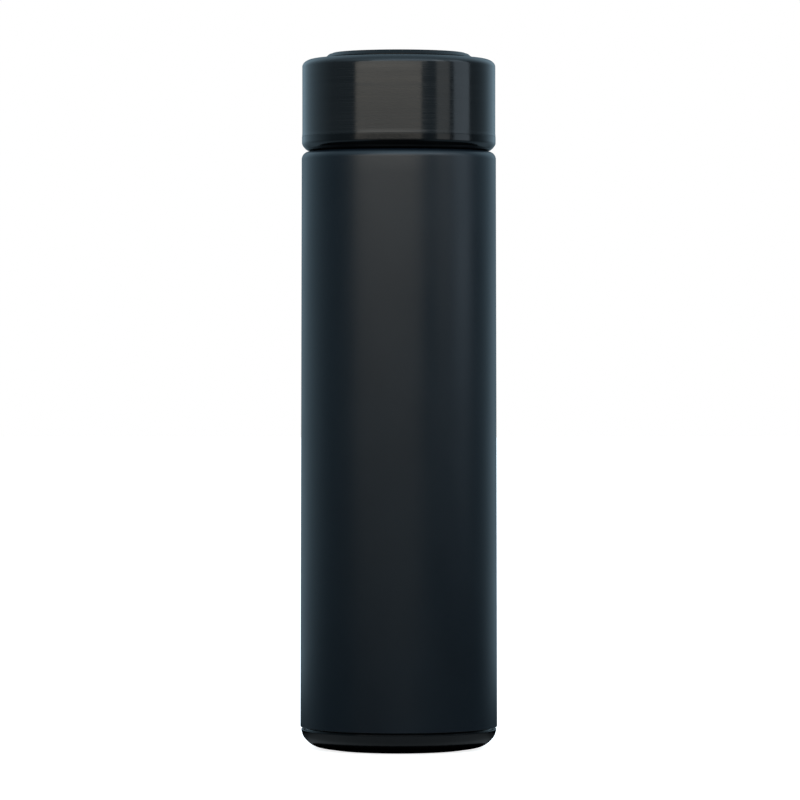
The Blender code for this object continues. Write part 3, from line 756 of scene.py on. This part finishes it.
def lid_cap():
    """Moulded cap: foot band, threaded bore, ceiling, the sensor's socket and three screw bosses."""
    band, low, top = radius("lid_liner"), low_z("lid_liner"), 216 * MM
    step_z, skirt = low + 4.7 * MM, radius("lid_shell") - 0.8 * MM
    thread_wall = 29.3 * MM
    boss, socket, socket_z = 21.2 * MM, 19.6 * MM, 210.2 * MM
    thread_low, thread_high = 199.9 * MM, 206.9 * MM
    outline = [(2 * MM, top), (thread_wall, top), (thread_wall, step_z + 4 * MM)]
    outline += [(skirt - 0.4 * MM, step_z + 4 * MM), (skirt, step_z + 3.4 * MM)]
    outline += filleted([(skirt, step_z), (band, step_z, 0.05 * MM), (band, step_z - 0.15 * MM)], 4)
    outline += [(band, low + 2.9 * MM)]
    outline += smooth_curve([(band - inset * MM, low + rise * MM) for inset, rise in BAND_ROUNDING])
    mouth = [(BORE_RADIUS + 1 * MM, low), (BORE_RADIUS, low, 0.5 * MM), (BORE_RADIUS, low + 1 * MM)]
    outline += filleted(mouth, 5)
    outline += stepped((BORE_RADIUS, thread_low), (BORE_RADIUS, thread_high), THREAD_STEP)
    # A known fault: both stretches below have a fillet on an end corner, where
    # filleted() takes the wrong neighbour. The sensor's socket gets a cone for its outer wall.
    corner = (BORE_RADIUS, CEILING_Z, 0.25 * MM)
    outline += filleted([(BORE_RADIUS, CEILING_Z - 2 * MM), corner, (boss, CEILING_Z, 0.25 * MM)], 4)
    foot = [(boss, socket_z, 0.35 * MM), (socket, socket_z, 0.35 * MM)]
    outline += filleted(foot + [(socket, CEILING_Z), (2 * MM, CEILING_Z)], 5)

    def ribbed(angle, r, z):
        if abs(r - BORE_RADIUS) > 1e-6 or not thread_low < z < thread_high:
            return 0.0
        middle = THREAD_Z + THREAD_LEAD / 2
        return -THREAD_DEPTH * helix_rise(angle, z, middle, CAP_RIB, 1.0 * MM, 0.25 * MM)

    mesh = lathe_mesh("lid_cap", outline, SEGMENTS, ribbed)
    bosses, holes = [], []
    for angle in map(math.radians, SCREW_ANGLES):
        x, y = SCREW_PITCH_RADIUS * math.cos(angle), SCREW_PITCH_RADIUS * math.sin(angle)
        bosses.append(upright(x, y, CEILING_Z + 1 * MM, 219.5 * MM, 2.6 * MM))
        holes.append(upright(x, y, top - 1.2 * MM, 221 * MM, 1.1 * MM))
    holes.append(upright(PROBE_X, 0.0, CEILING_Z - 1 * MM, top + 1 * MM, 2.2 * MM))
    mesh = joined(mesh, cylinders(bosses, 24), "UNION")
    mesh = joined(mesh, cylinders(holes, 24), "DIFFERENCE")
    add_piece("lid_cap", mesh, "lid", ["lid_liner"], lid_plastic)


def bezel_ring():
    """Sloped ring round the lens, its skirt down through the cover's window."""
    under = high_z("lid_shell") + GAP
    inner = radius("display_lens") + GAP
    seat, foot_z = low_z("display_lens") - GAP, low_z("display_bezel")
    wide, rim_z = radius("display_bezel"), high_z("display_bezel")
    skirt, ledge = WINDOW_RADIUS - GAP, 20.9 * MM
    outline = filleted(
        [
            (inner, rim_z, 0.12 * MM),
            (inner + 0.3 * MM, rim_z, 0.12 * MM),
            (wide, under + 0.3 * MM, 0.15 * MM),
            (wide, under, 0.1 * MM),
            (skirt, under),
            (skirt, foot_z),
            (ledge, foot_z),
            (ledge, seat),
            (inner, seat),
        ],
        5,
    )
    lathe("bezel_ring", outline, "lid", ["display_bezel"], bezel_plastic)


def touch_lens():
    """Gloss disc with a rounded edge, a little proud of the bezel."""
    r, low, top = radius("display_lens"), low_z("display_lens"), high_z("display_lens")
    edge = 0.7 * MM
    outline = [(0, top)]
    outline += arc(r - edge, top - edge, edge, edge, 90, 0, 10)
    outline += [(r, low), (0, low)]
    lathe("touch_lens", outline, "lid", ["display_lens"], lens_gloss)


def probe_plate():
    """Steel dish in the lid's underside that takes up the drink's heat."""
    r, low, top = radius("sensor_plate"), low_z("sensor_plate"), high_z("sensor_plate")
    outline = [(0, low + SHEET), (r - 1.6 * MM, low + SHEET)]
    outline += arc(r - 1.5 * MM, low + 1.5 * MM, 1.0 * MM, 1.0 * MM, 280, 360, 5)
    outline += [(r - SHEET, top), (r, top)]
    outline += arc(r - 1.4 * MM, low + 1.4 * MM, 1.4 * MM, 1.4 * MM, 0, -90, 8)
    outline += [(0, low)]
    lathe("probe_plate", outline, "lid", ["sensor_plate"], pressed_steel)


body_casing()
vessel()
closing_dish()
base_cap()
foot_pad()
strainer()
seal_ring()
lid_cover()
lid_cap()
bezel_ring()
touch_lens()
probe_plate()


# ---------------------------------------------------------------- CAD pieces that stay


def dress(material, *nodes):
    """Gives the CAD nodes that material in place of their plain one."""
    for node in nodes:
        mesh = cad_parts[node].data
        mesh.materials.clear()
        mesh.materials.append(material)


dress(plain_metal("copper_foil", (0.78, 0.42, 0.27), 0.25), "reflective_foil")
dress(plain_metal("solder", (0.5, 0.5, 0.5), 0.5), "vacuum_plug")
dress(plain_solid("getter_powder", (0.12, 0.11, 0.1), 0.85), "getter_pellet", "thermistor")
dress(plain_metal("strip_steel", (0.6, 0.6, 0.6), 0.3), "getter_strap")
dress(silicone, "plate_gasket")
dress(plain_solid("wire_sleeve", (0.45, 0.02, 0.015), 0.5), "sensor_lead_1", "sensor_lead_2")
dress(tray_plastic, "module_case")
screw_steel = plain_metal("screw_steel", (0.55, 0.55, 0.54), 0.3)
dress(screw_steel, "case_screw_1", "case_screw_2", "case_screw_3")
dress(circuit_mask(), "circuit_board")
dress(plain_solid("display_block", (0.02, 0.02, 0.022), 0.3), "led_display")
dress(plain_solid("chip_resin", (0.015, 0.015, 0.016), 0.55), "controller_chip")
plated_spring = plain_metal("plated_spring", (0.72, 0.6, 0.36), 0.25)
dress(plated_spring, "touch_spring", "cell_strap", "cell_contact")
dress(satin_steel("cell_steel", (0.62, 0.62, 0.61), 0.18, 0.3), "coin_cell")


# ---------------------------------------------------------------- studio


def softbox(name, azimuth, distance, low, high, width, colour, radiance):
    """An upright softbox that faces the flask. Azimuth 0 is towards the camera, positive to its right."""
    a = math.radians(azimuth)
    light = bpy.data.lights.new(name, "AREA")
    light.shape = "RECTANGLE"
    light.size, light.size_y = width, high - low
    light.color = colour
    light.energy = 4 * radiance * width * (high - low)
    obj = bpy.data.objects.new(name, light)
    obj.location = (distance * math.sin(a), -distance * math.cos(a), (low + high) / 2)
    obj.rotation_euler = (math.pi / 2, 0, a)
    obj.visible_camera = False
    bpy.context.scene.collection.objects.link(obj)


def surroundings():
    """White to the camera; to everything else a dim room, paler behind and dark underfoot."""
    world = bpy.data.worlds.new("studio_world")
    bpy.context.scene.world = world
    world.use_nodes = True
    g = Graph(world.node_tree)
    g.nodes.clear()
    x, y, z = g.split(g.add("ShaderNodeTexCoord").outputs["Generated"])
    aside = g.math("ABSOLUTE", x)
    straight_behind = g.math(
        "MULTIPLY", g.ranged(aside, 0.1, 0.45, 0.65, 0), g.ranged(y, 0.3, 0.7, 0, 1)
    )
    ahead = g.math("SUBTRACT", y, g.math("MULTIPLY", x, 0.5))
    underfoot = g.math(
        "MULTIPLY", g.ranged(z, -0.1, -0.35, 0, 1), g.ranged(ahead, -0.1, -0.4, 0, 1)
    )
    level = g.ranged(y, -0.05, 0.9, 0.13, 0.58)
    for factor in (
        g.math("SUBTRACT", 1.0, underfoot),
        g.ranged(x, 0.67, 0.95, 1.15, 0.47),  # dimmer far to the right
        g.ranged(z, -0.3, 0.12, 0.2, 1.15),  # and towards the ground
        g.math("SUBTRACT", 1.0, straight_behind),
    ):
        level = g.math("MULTIPLY", level, factor)
    overhead = g.math("MULTIPLY", g.ranged(z, 0.3, 0.8, 0, 1), g.ranged(y, -0.5, 0.2, 1.1, 0.15))
    low_sides = g.math("MULTIPLY", g.ranged(z, -0.1, -0.3, 0, 1), g.ranged(aside, 0.35, 0.7, 0, 0.27))
    for added in (overhead, low_sides):
        level = g.math("ADD", level, added)
    room = g.add("ShaderNodeBackground")
    room.inputs["Color"].default_value = (0.68, 1.0, 1.22, 1)
    g.link(level, room.inputs["Strength"])
    white = g.add("ShaderNodeBackground")
    white.inputs["Color"].default_value = (1, 1, 1, 1)
    mix = g.add("ShaderNodeMixShader")
    g.link(g.add("ShaderNodeLightPath").outputs["Is Camera Ray"], mix.inputs[0])
    g.link(room.outputs[0], mix.inputs[1])
    g.link(white.outputs[0], mix.inputs[2])
    g.link(mix.outputs[0], g.add("ShaderNodeOutputWorld").inputs[0])


def pale_floor():
    """The white ground that the camera sees. It lights nothing; reflections see the painted reflection of
    the table instead.
    """
    mesh = bpy.data.meshes.new("floor")
    bm = bmesh.new()
    bmesh.ops.create_grid(bm, x_segments=1, y_segments=1, size=6)
    bm.to_mesh(mesh)
    bm.free()
    floor = bpy.data.objects.new("floor", mesh)
    floor.location.z = -0.05 * MM
    bpy.context.scene.collection.objects.link(floor)
    f = Finish(
        "pale_floor",
        Base_Color=(0.9, 0.9, 0.9),
        Roughness=0.9,
        Emission_Color=(1.0, 1.0, 1.0),
        Emission_Strength=0.85,
    )
    mesh.materials.append(f.material)
    floor.visible_glossy = False
    floor.visible_diffuse = False


def painted_table_reflection(name, inner, outer, strength):
    """A flat ring under the floor that only reflections see: a painted reflection of the table, its glow
    stronger on the camera's side; with little or no glow it is painted shade.
    """
    top, bottom = -1 * MM, -2 * MM
    ring = lathe_mesh(name, [(inner, top), (outer, top), (outer, bottom), (inner, bottom)], 48)
    obj = bpy.data.objects.new(name, ring)
    bpy.context.scene.collection.objects.link(obj)
    f = Finish(
        name,
        Base_Color=(0.0, 0.0, 0.0),
        Roughness=1.0,
        Specular_IOR_Level=0.0,
        Emission_Color=(0.85, 1.0, 1.1),
    )
    y = f.split(f.position)[1]
    # Painted reflection: the ring glows more on the camera's side than behind.
    glow = f.ranged(y, -25 * MM, 10 * MM, strength, 0.1 * strength)
    f.link(glow, f.shader.inputs["Emission Strength"])
    ring.materials.append(f.material)
    obj.visible_camera = False
    obj.visible_diffuse = False


def studio():
    warm, neutral, cool = (1.0, 0.92, 0.80), (0.95, 0.96, 0.93), (0.78, 0.94, 1.08)
    softbox("front_box", -12.5, 0.45, 0.23, 0.31, 0.73, warm, 1.95)
    softbox("middle_box", -8, 0.45, 0.31, 0.45, 0.78, neutral, 1.3)
    softbox("upper_box", 12, 0.45, 0.45, 0.75, 0.95, cool, 1.05)
    softbox("front_fill", -13, 0.45, 0.06, 0.225, 0.72, warm, 0.22)
    softbox("right_strip", 79, 0.6, 0.13, 0.8, 0.25, cool, 0.95)
    softbox("right_box", 53, 0.6, 0.17, 0.8, 0.18, neutral, 0.72)
    surroundings()
    pale_floor()
    # Rings seen only in reflections: painted shade under the flask and far from it, and a painted
    # reflection of the lit table round its foot.
    painted_table_reflection("painted_shade_under", 2 * MM, 31 * MM, 0.0)
    painted_table_reflection("painted_reflection_glow", 31 * MM, 52 * MM, 0.31)
    painted_table_reflection("painted_shade_far", 52 * MM, 330 * MM, 0.01)


def camera():
    """A long lens a little above the flask's middle, aimed slightly down."""
    data = bpy.data.cameras.new("camera")
    data.sensor_width = 36
    data.lens = CAMERA_LENS
    data.clip_end = 50
    obj = bpy.data.objects.new("camera", data)
    obj.location = CAMERA_PLACE
    obj.rotation_euler = (math.radians(90 - CAMERA_DOWN_DEG), 0, 0)
    bpy.context.scene.collection.objects.link(obj)
    bpy.context.scene.camera = obj


studio()
camera()
bpy.context.scene.view_settings.view_transform = "Standard"
